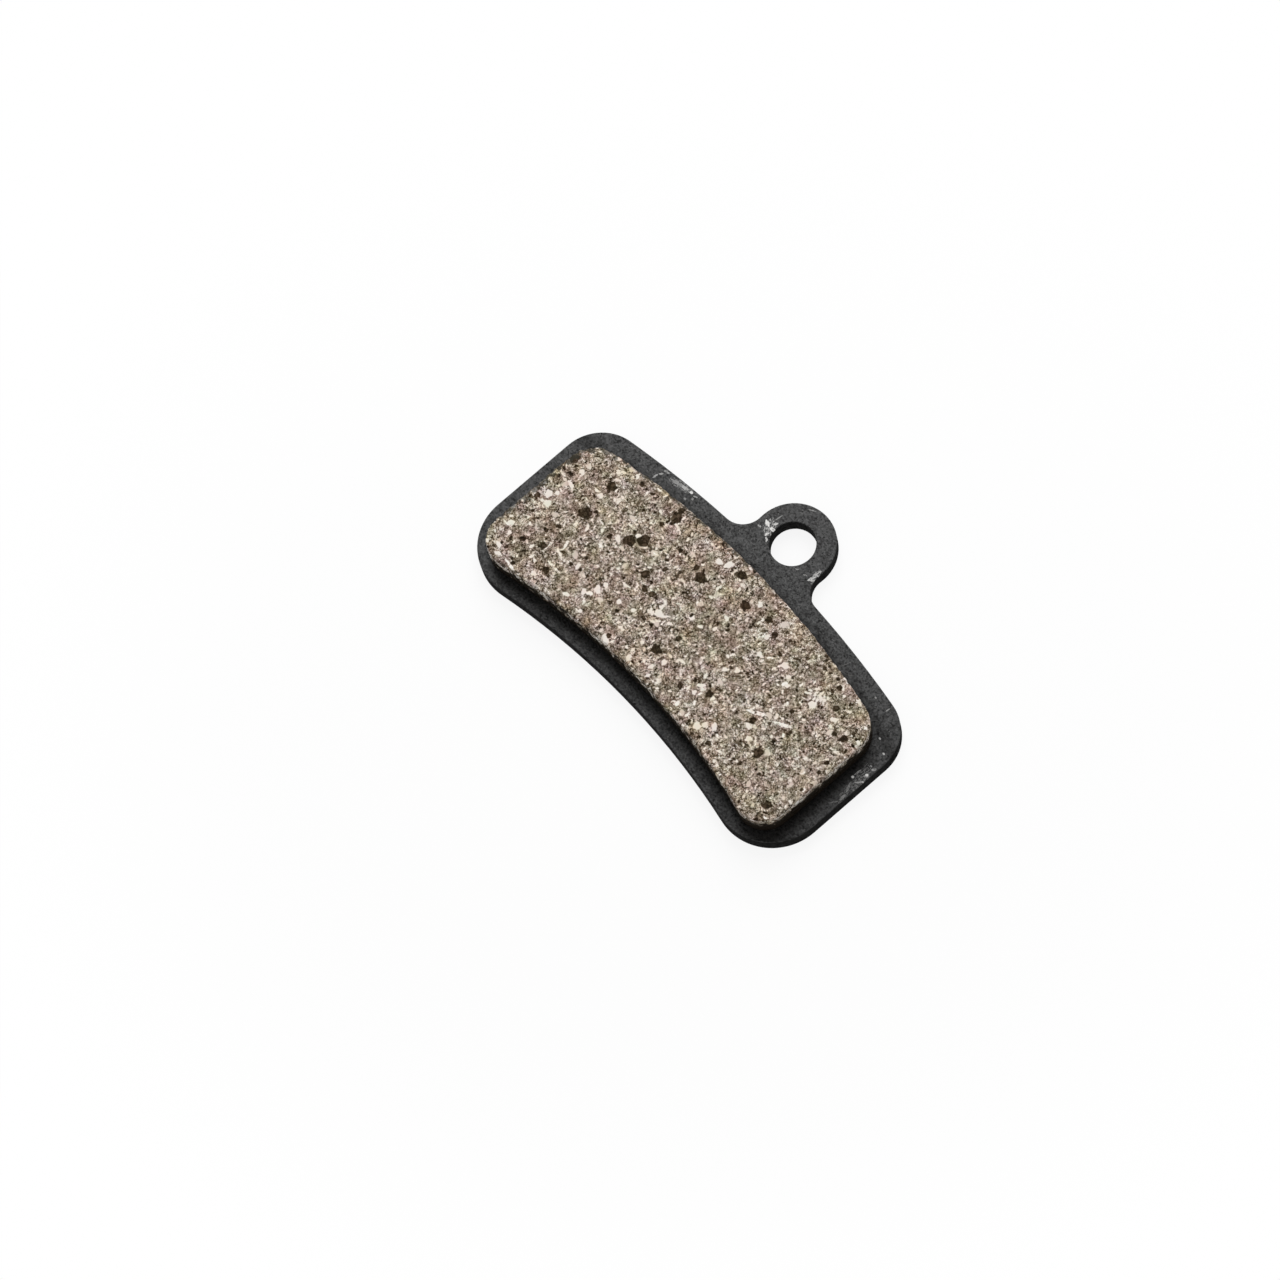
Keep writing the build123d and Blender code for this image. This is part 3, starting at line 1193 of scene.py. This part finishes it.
    def _plan(self) -> np.ndarray:
        """Lays a grid over the ground face.

        Returns:
            Places in plan, by column and row.
        """
        samples = 4000
        lower, upper = self._face_edges()
        even = np.linspace(lower[0, 0], lower[-1, 0], samples)
        fine = np.unique(np.concatenate((lower[:, 0], upper[:, 0], even)))
        run = np.zeros(len(fine))
        for edge in (lower, upper):
            rise = np.interp(fine, edge[:, 0], edge[:, 1])
            run[1:] += np.cumsum(np.hypot(np.diff(fine), np.diff(rise)))
        x = np.interp(np.linspace(0.0, run[-1], self.columns + 1), run, fine)
        bottom = np.interp(x, lower[:, 0], lower[:, 1])
        height = np.interp(x, upper[:, 0], upper[:, 1]) - bottom
        share = np.linspace(0.0, 1.0, self.rows + 1)
        y = bottom[:, None] + height[:, None] * share[None, :]
        return np.stack((np.repeat(x[:, None], self.rows + 1, axis=1), y), axis=-1)

    def _grid(self) -> np.ndarray:
        """Gives the numbers of the face's vertices, by column and row."""
        return np.arange((self.columns + 1) * (self.rows + 1)).reshape(self.columns + 1, self.rows + 1)

    def _rim_loop(self) -> np.ndarray:
        """Lists the face's outer vertices, anticlockwise from the lower left.

        Returns:
            Vertex numbers.
        """
        grid = self._grid()
        return np.concatenate((grid[:-1, 0], grid[-1, :-1], grid[:0:-1, -1], grid[0, :0:-1]))

    def _scatter(self, kind: Strewing) -> List[Spot]:
        """Throws spots over the face, many small and few large.

        Args:
            kind: how many spots, and their sizes.

        Returns:
            The spots.
        """
        low, high = self.low, self.high
        return [
            Spot(
                x=(low.x + (high.x - low.x) * d[0]) / MM,
                y=(low.y + (high.y - low.y) * d[1]) / MM,
                reach=kind.small * (kind.large / kind.small) ** (d[2] ** self.smallness),
                slimness=kind.slimmest + (1.0 - kind.slimmest) * d[3],
                turn=math.tau * d[4],
                strength=self.weakest + (1.0 - self.weakest) * d[5],
            )
            for d in self.random.random((kind.count, 6))
        ]

    def _cover(self, spot: Spot) -> Tuple[np.ndarray, np.ndarray]:
        """Finds which face vertices lie under a spot.

        Args:
            spot: the spot.

        Returns:
            Vertex numbers, and how far each is covered, from 0 to 1.
        """
        found = self.tree.find_range((spot.x, spot.y, 0.0), spot.reach * self.spot_search)
        index = np.array([item[1] for item in found], dtype=int)
        if not len(index):
            return index, np.zeros(0)
        offset = self.plan[index] - (spot.x, spot.y)
        along = offset[:, 0] * math.cos(spot.turn) + offset[:, 1] * math.sin(spot.turn)
        across = offset[:, 1] * math.cos(spot.turn) - offset[:, 0] * math.sin(spot.turn)
        across = across / spot.slimness
        angle = np.arctan2(across, along)
        three_lobes = self.lobe * np.sin(3.0 * angle + 9.0 * spot.turn)
        five_lobes = self.lobe * np.sin(5.0 * angle + 4.0 * spot.x)
        outline = spot.reach * (1.0 + three_lobes + five_lobes)
        return index, smooth_step(np.hypot(along, across) / outline, *self.spot_edge)

    def _face_relief(self, rim: np.ndarray) -> Tuple[np.ndarray, Dict[Mark, np.ndarray]]:
        """Works out the ground face's height and marks.

        Args:
            rim: distance of each face vertex from the rim.

        Returns:
            Height of each vertex against the top, and its marks.
        """
        count = len(self.plan)
        marks = {mark: np.zeros(count) for mark in Mark}
        marks[Mark.RIM_DISTANCE] = rim
        coarse, fine = (
            lumps(np.column_stack((self.plan * scale, np.full(count, level))))
            for scale, level in zip(self.face_lumps, self.face_levels)
        )
        height = -self.ground_drop + self.ground_relief * (coarse + self.fine_share * fine)

        flakes = [Spot(x, y, reach, slim, self.listed_turn * x) for x, y, reach, slim in self.pale_flakes]
        listed = np.zeros(count)
        for spot in flakes:
            index, cover = self._cover(spot)
            lay_over(listed, index, cover)
        for spot in flakes + self._scatter(self.loose_flakes):
            index, cover = self._cover(spot)
            lay_over(marks[Mark.PALE_FLAKE], index, cover * spot.strength)
            height[index] += self.flake_rise * cover * spot.strength
        for spot in self._scatter(self.pits):
            index, cover = self._cover(spot)
            cover = cover * (1.0 - listed[index])
            lay_over(marks[Mark.PIT], index, cover * spot.strength)
            height[index] -= self.pit_depth * cover * spot.strength

        grains = [
            Spot(x, y, reach, self.grain_slimness, self.listed_turn * x)
            for x, y, reach in self.dark_grains
        ]
        for spot in grains + self._scatter(self.small_grains):
            index, cover = self._cover(spot)
            cover = cover * (1.0 - listed[index])
            share = cover * min(1.0, self.grain_least + self.grain_more * spot.strength)
            lay_over(marks[Mark.DARK_GRAIN], index, share)
            marks[Mark.PALE_FLAKE][index] *= 1.0 - share
            height[index] -= self.grain_depth * cover
        return np.minimum(height, 0.0), marks

    def build(self) -> bpy.types.Object:
        """Makes the block's mesh.

        Returns:
            The block, as one closed piece.
        """
        self.plan = self._plan().reshape(-1, 2)
        self.tree = search_tree(self.plan)
        loop = self._rim_loop()
        edge = self.plan[loop]
        rim_tree = search_tree(edge)
        rim = np.array([rim_tree.find((x, y, 0.0))[2] for x, y in self.plan])

        height, marks = self._face_relief(rim)
        face = np.column_stack((self.plan, self.top + height))
        skirt = self._skirt(edge, face[loop, 2])
        places = np.vstack((face, skirt.reshape(-1, 3)))
        outward = np.vstack((np.zeros((len(face), 2)), np.tile(self.outward, (len(skirt), 1))))
        self._crumble(places, outward, edge, len(face))
        places = np.clip(places, np.array(self.low) / MM, np.array(self.high) / MM)

        mesh = bpy.data.meshes.new("friction_compound_block")
        mesh.from_pydata((places * MM).tolist(), [], self._faces(loop, len(skirt)))
        mesh.polygons.foreach_set("use_smooth", [True] * (len(mesh.polygons) - 1) + [False])
        for mark, values in marks.items():
            rim_values = np.tile(values[loop], self.rim_rows)
            wall_values = np.zeros(len(places) - len(values) - len(rim_values))
            filled = np.concatenate((values, rim_values, wall_values)).astype(np.float32)
            mesh.attributes.new(mark.value, "FLOAT", "POINT").data.foreach_set("value", filled)
        mesh.update()
        mesh.validate()
        piece = bpy.data.objects.new("friction_compound_block", mesh)
        bpy.context.scene.collection.objects.link(piece)
        return piece

    def _skirt(self, edge: np.ndarray, edge_height: np.ndarray) -> np.ndarray:
        """Lays the rounded rim and the walls round the face.

        Args:
            edge: the face's rim in plan.
            edge_height: height of each rim vertex.

        Returns:
            Places by row and by vertex along the rim, from the top down.
        """
        run = np.roll(edge, -1, axis=0) - np.roll(edge, 1, axis=0)
        run /= np.linalg.norm(run, axis=1)[:, None]
        self.outward = np.column_stack((run[:, 1], -run[:, 0]))
        rim_radius = self.high.x / MM - edge[:, 0].max()

        rows = []
        for row in range(1, self.rim_rows + 1):
            angle = 0.5 * math.pi * row / self.rim_rows
            out = rim_radius * math.sin(angle)
            level = edge_height - rim_radius * (1.0 - math.cos(angle))
            rows.append(np.column_stack((edge + self.outward * out, level)))
        start = edge_height - rim_radius
        for row in range(1, self.wall_rows + 1):
            share = row / self.wall_rows
            level = start + (self.foot - start) * share
            rows.append(np.column_stack((edge + self.outward * rim_radius, level)))
        return np.array(rows)

    def _crumble(self, places: np.ndarray, outward: np.ndarray, edge: np.ndarray, face_count: int) -> None:
        """Roughens the walls and breaks small chips out of the rim, in place.

        Args:
            places: every vertex.
            outward: outward direction in plan of each wall vertex, and zero on the face.
            edge: the face's rim in plan.
            face_count: how many of the vertices belong to the face.
        """
        walls = places[face_count:]
        coarse, fine = (lumps(walls * scale) for scale in self.wall_lumps)
        depth = self.wall_middle + self.wall_swing * (coarse + self.fine_share * fine)
        crisp = smooth_step(walls[:, 0], CRISP_START, CRISP_END)
        inset = self.wall_relief * np.clip(depth, 0.0, self.wall_limit) * (1.0 - self.crisp_walls * crisp)
        walls[:, :2] -= outward[face_count:] * inset[:, None]

        tree = search_tree(places)
        for pick, size, side in self.random.random((self.chip_count, 3)):
            x, y = edge[int(pick * len(edge))]
            crisp = smooth_step(x, CRISP_START, CRISP_END)
            reach = (self.chip_small + self.chip_more * size ** 2) * (1.0 - self.crisp_chips * crisp)
            found = tree.find_range((x, y, self.top - self.chip_band + self.chip_band * side), reach)
            index = np.array([item[1] for item in found], dtype=int)
            away = np.array([item[2] for item in found]) / reach
            bite = reach * (1.0 - away ** 2) ** 2
            places[index, 2] -= self.chip_drop * bite
            places[index, :2] -= outward[index] * (self.chip_inset * bite)[:, None]

    def _faces(self, loop: np.ndarray, skirt_rows: int) -> List[Tuple[int, ...]]:
        """Lists the mesh's faces.

        Args:
            loop: vertex numbers along the rim.
            skirt_rows: how many rows of vertices lie round the face.

        Returns:
            Vertex numbers of each face, with the foot as the last one.
        """
        grid = self._grid()
        corners = (grid[:-1, :-1], grid[1:, :-1], grid[1:, 1:], grid[:-1, 1:])
        quads = np.stack(corners, axis=-1).reshape(-1, 4)
        faces = [tuple(quad) for quad in quads.tolist()]
        rings = [loop] + [grid.size + row * len(loop) + np.arange(len(loop)) for row in range(skirt_rows)]
        for inner, outer in zip(rings, rings[1:]):
            quads = np.stack((inner, outer, np.roll(outer, -1), np.roll(inner, -1)), axis=-1)
            faces += [tuple(quad) for quad in quads.tolist()]
        faces.append(tuple(rings[-1][::-1].tolist()))
        return faces

    def dress(self, piece: bpy.types.Object, finish: FrictionCompound, effects: SharedEffects) -> None:
        """Gives the block its finish and its place in the frame."""
        piece.data.materials.append(finish.material(effects, self.top))
        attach(piece, BODY)
        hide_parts(CadNode.BLOCK.value)


@dataclass
class BackingPlate:
    """Coated steel plate, whose CAD shape is kept."""

    finish: PlateCoat = field(default_factory=PlateCoat)

    def dress(self, effects: SharedEffects) -> bpy.types.Object:
        """Gives the plate its coat.

        Args:
            effects: the shared node groups.

        Returns:
            The plate.
        """
        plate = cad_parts[CadNode.PLATE.value]
        coat = self.finish.material(effects)
        for holder in plate.material_slots:
            holder.material = coat
        return plate


@dataclass(frozen=True)
class PhotoCamera:
    """Camera at the photograph's viewing angle, in millimetres and degrees."""

    target: Tuple[float, float, float] = (0.0, -11.0, 0.0)
    heading: float = 65.1
    elevation: float = 66.48
    roll: float = -17.55
    distance: float = 605.0
    # Where the target stands in the picture, right of and below its middle
    target_right: float = 5.420
    target_below: float = -0.849
    picture_width: float = 1280.0
    pixels_per_mm: float = 11.3418
    sensor_width: float = 36.0
    # Nearest distance that is shown, in metres
    clip_start: float = 0.01

    def build(self) -> bpy.types.Object:
        """Places the camera.

        Returns:
            The scene's camera.
        """
        elevation = math.radians(self.elevation)
        roll = math.radians(self.roll)
        forward = Vector((0.0, math.cos(elevation), -math.sin(elevation)))
        level_right = Vector((1.0, 0.0, 0.0))
        level_down = Vector((0.0, -math.sin(elevation), -math.cos(elevation)))
        right = math.cos(roll) * level_right - math.sin(roll) * level_down
        down = math.sin(roll) * level_right + math.cos(roll) * level_down
        stand = -self.distance * forward - self.target_right * right - self.target_below * down

        turn = Matrix.Rotation(math.radians(self.heading), 4, "Z")
        basis = Matrix((right, -down, -forward)).transposed().to_4x4()
        place = Matrix.Translation((turn @ stand + Vector(self.target)) * MM)

        data = bpy.data.cameras.new("photo_camera")
        data.sensor_width = self.sensor_width
        data.lens = self.sensor_width * self.pixels_per_mm * self.distance / self.picture_width
        data.clip_start = self.clip_start
        camera = bpy.data.objects.new("photo_camera", data)
        camera.matrix_world = place @ turn @ basis
        bpy.context.scene.collection.objects.link(camera)
        bpy.context.scene.camera = camera
        return camera


@dataclass(frozen=True)
class Softbox:
    """A square soft lamp that faces the pad, in metres and degrees."""

    name: str
    heading: float
    elevation: float
    distance: float
    side: float
    # Brightness of its face, where 1 is white
    level: float

    def build(self, target: Vector) -> bpy.types.Object:
        """Places the lamp.

        Args:
            target: the point it faces.

        Returns:
            The lamp.
        """
        heading = math.radians(self.heading)
        elevation = math.radians(self.elevation)
        toward = Vector((
            math.cos(elevation) * math.sin(heading),
            -math.cos(elevation) * math.cos(heading),
            math.sin(elevation),
        ))
        data = bpy.data.lights.new(self.name, "AREA")
        data.shape = "SQUARE"
        data.size = self.side
        data.energy = self.level * math.pi * self.side ** 2
        lamp = bpy.data.objects.new(self.name, data)
        lamp.location = target + toward * self.distance
        lamp.rotation_euler = (-toward).to_track_quat("-Z", "Y").to_euler()
        bpy.context.scene.collection.objects.link(lamp)
        return lamp


@dataclass(frozen=True)
class Studio:
    """White floor, white surroundings and soft lamps, in metres."""

    # Middle of the pad, which the lamps face
    target: Tuple[float, float, float] = (0.0, -0.010, 0.002)
    ambient: float = 0.45
    # Brightness overhead as a gloss shows it, above the white sweep that stands round the pad
    ceiling: float = 0.12
    sweep_top: float = 0.45
    ceiling_start: float = 0.75
    floor_radius: float = 3.0
    floor_steps: int = 96
    floor_gap: float = 0.00002
    floor_colour: float = 0.80
    # Share of the floor's look that takes the pad's shadow, near the pad and far from it
    shadow_share: float = 0.12
    shadow_start: float = 0.030
    shadow_end: float = 0.075
    lamps: Tuple[Softbox, ...] = (
        Softbox("back_softbox", heading=222.0, elevation=46.0, distance=0.55, side=0.42, level=4.1),
    )

    def build(self) -> None:
        """Sets up the whole studio."""
        scene = bpy.context.scene
        scene.view_settings.view_transform = "Standard"
        target = Vector(self.target)
        for lamp in self.lamps:
            lamp.build(target)
        self._surroundings(scene)
        self._floor(target)

    @staticmethod
    def _seen_directly(sheet: ShaderSheet) -> Socket:
        """Gives 1 for a ray that shows the background, straight, in a gloss or through glass."""
        path = sheet.node("ShaderNodeLightPath").outputs
        seen = sheet.math("MAXIMUM", path["Is Camera Ray"], path["Is Glossy Ray"])
        return sheet.math("MAXIMUM", seen, path["Is Transmission Ray"])

    def _surroundings(self, scene: bpy.types.Scene) -> None:
        """Makes the surroundings white to look at and softer as a light."""
        world = bpy.data.worlds.new("white_surroundings")
        sheet = ShaderSheet(clear_nodes(world))
        direction = sheet.node("ShaderNodeTexCoord").outputs["Generated"]
        overhead = sheet.step(sheet.dot(direction, UP), self.sweep_top, self.ceiling_start)
        shown = sheet.spread(overhead, 1.0, self.ceiling)
        seen = self._seen_directly(sheet)
        strength = sheet.plus(sheet.times(sheet.minus(1.0, seen), self.ambient), sheet.times(seen, shown))
        glow = sheet.node("ShaderNodeBackground", {"Color": WHITE, "Strength": strength})
        sheet.node("ShaderNodeOutputWorld", {"Surface": glow.outputs[0]})
        scene.world = world

    def _floor(self, target: Vector) -> None:
        """Lays the floor just under the pad."""
        mesh = bpy.data.meshes.new("studio_floor")
        turns = [math.tau * step / self.floor_steps for step in range(self.floor_steps)]
        ring = [
            (
                target.x + self.floor_radius * math.cos(turn),
                target.y + self.floor_radius * math.sin(turn),
                -self.floor_gap,
            )
            for turn in turns
        ]
        mesh.from_pydata(ring, [], [tuple(range(self.floor_steps))])
        floor = bpy.data.objects.new("studio_floor", mesh)
        bpy.context.scene.collection.objects.link(floor)

        material = bpy.data.materials.new("studio_floor")
        sheet = ShaderSheet(clear_nodes(material))
        place = sheet.node("ShaderNodeTexCoord").outputs["Object"]
        away = sheet.length(sheet.vector("SUBTRACT", place, tuple(target)))
        share = sheet.times(sheet.step(away, self.shadow_end, self.shadow_start), self.shadow_share)
        plain = sheet.node("ShaderNodeBsdfDiffuse", {"Color": (self.floor_colour,) * 3})
        white = sheet.node("ShaderNodeEmission", {"Color": WHITE, "Strength": 1.0})
        paper = sheet.node("ShaderNodeBsdfDiffuse", {"Color": WHITE})
        shown = sheet.node("ShaderNodeMixShader", {0: share, 1: white.outputs[0], 2: paper.outputs[0]})
        look = sheet.node(
            "ShaderNodeMixShader",
            {0: self._seen_directly(sheet), 1: plain.outputs[0], 2: shown.outputs[0]},
        )
        sheet.node("ShaderNodeOutputMaterial", {"Surface": look.outputs[0]})
        mesh.materials.append(material)


def main() -> None:
    """Builds the pad's pieces and the studio in order."""
    logging.basicConfig(level=logging.INFO, format="%(name)s: %(message)s")
    effects = SharedEffects()
    plate = BackingPlate().dress(effects)
    log.info("dressed %s", plate.name)
    block = FrictionBlock()
    piece = block.build()
    block.dress(piece, FrictionCompound(), effects)
    log.info("built %s with %d faces", piece.name, len(piece.data.polygons))
    camera = PhotoCamera().build()
    log.info("placed %s with a %.0f mm lens", camera.name, camera.data.lens)
    Studio().build()


if __name__ == "__main__":
    main()
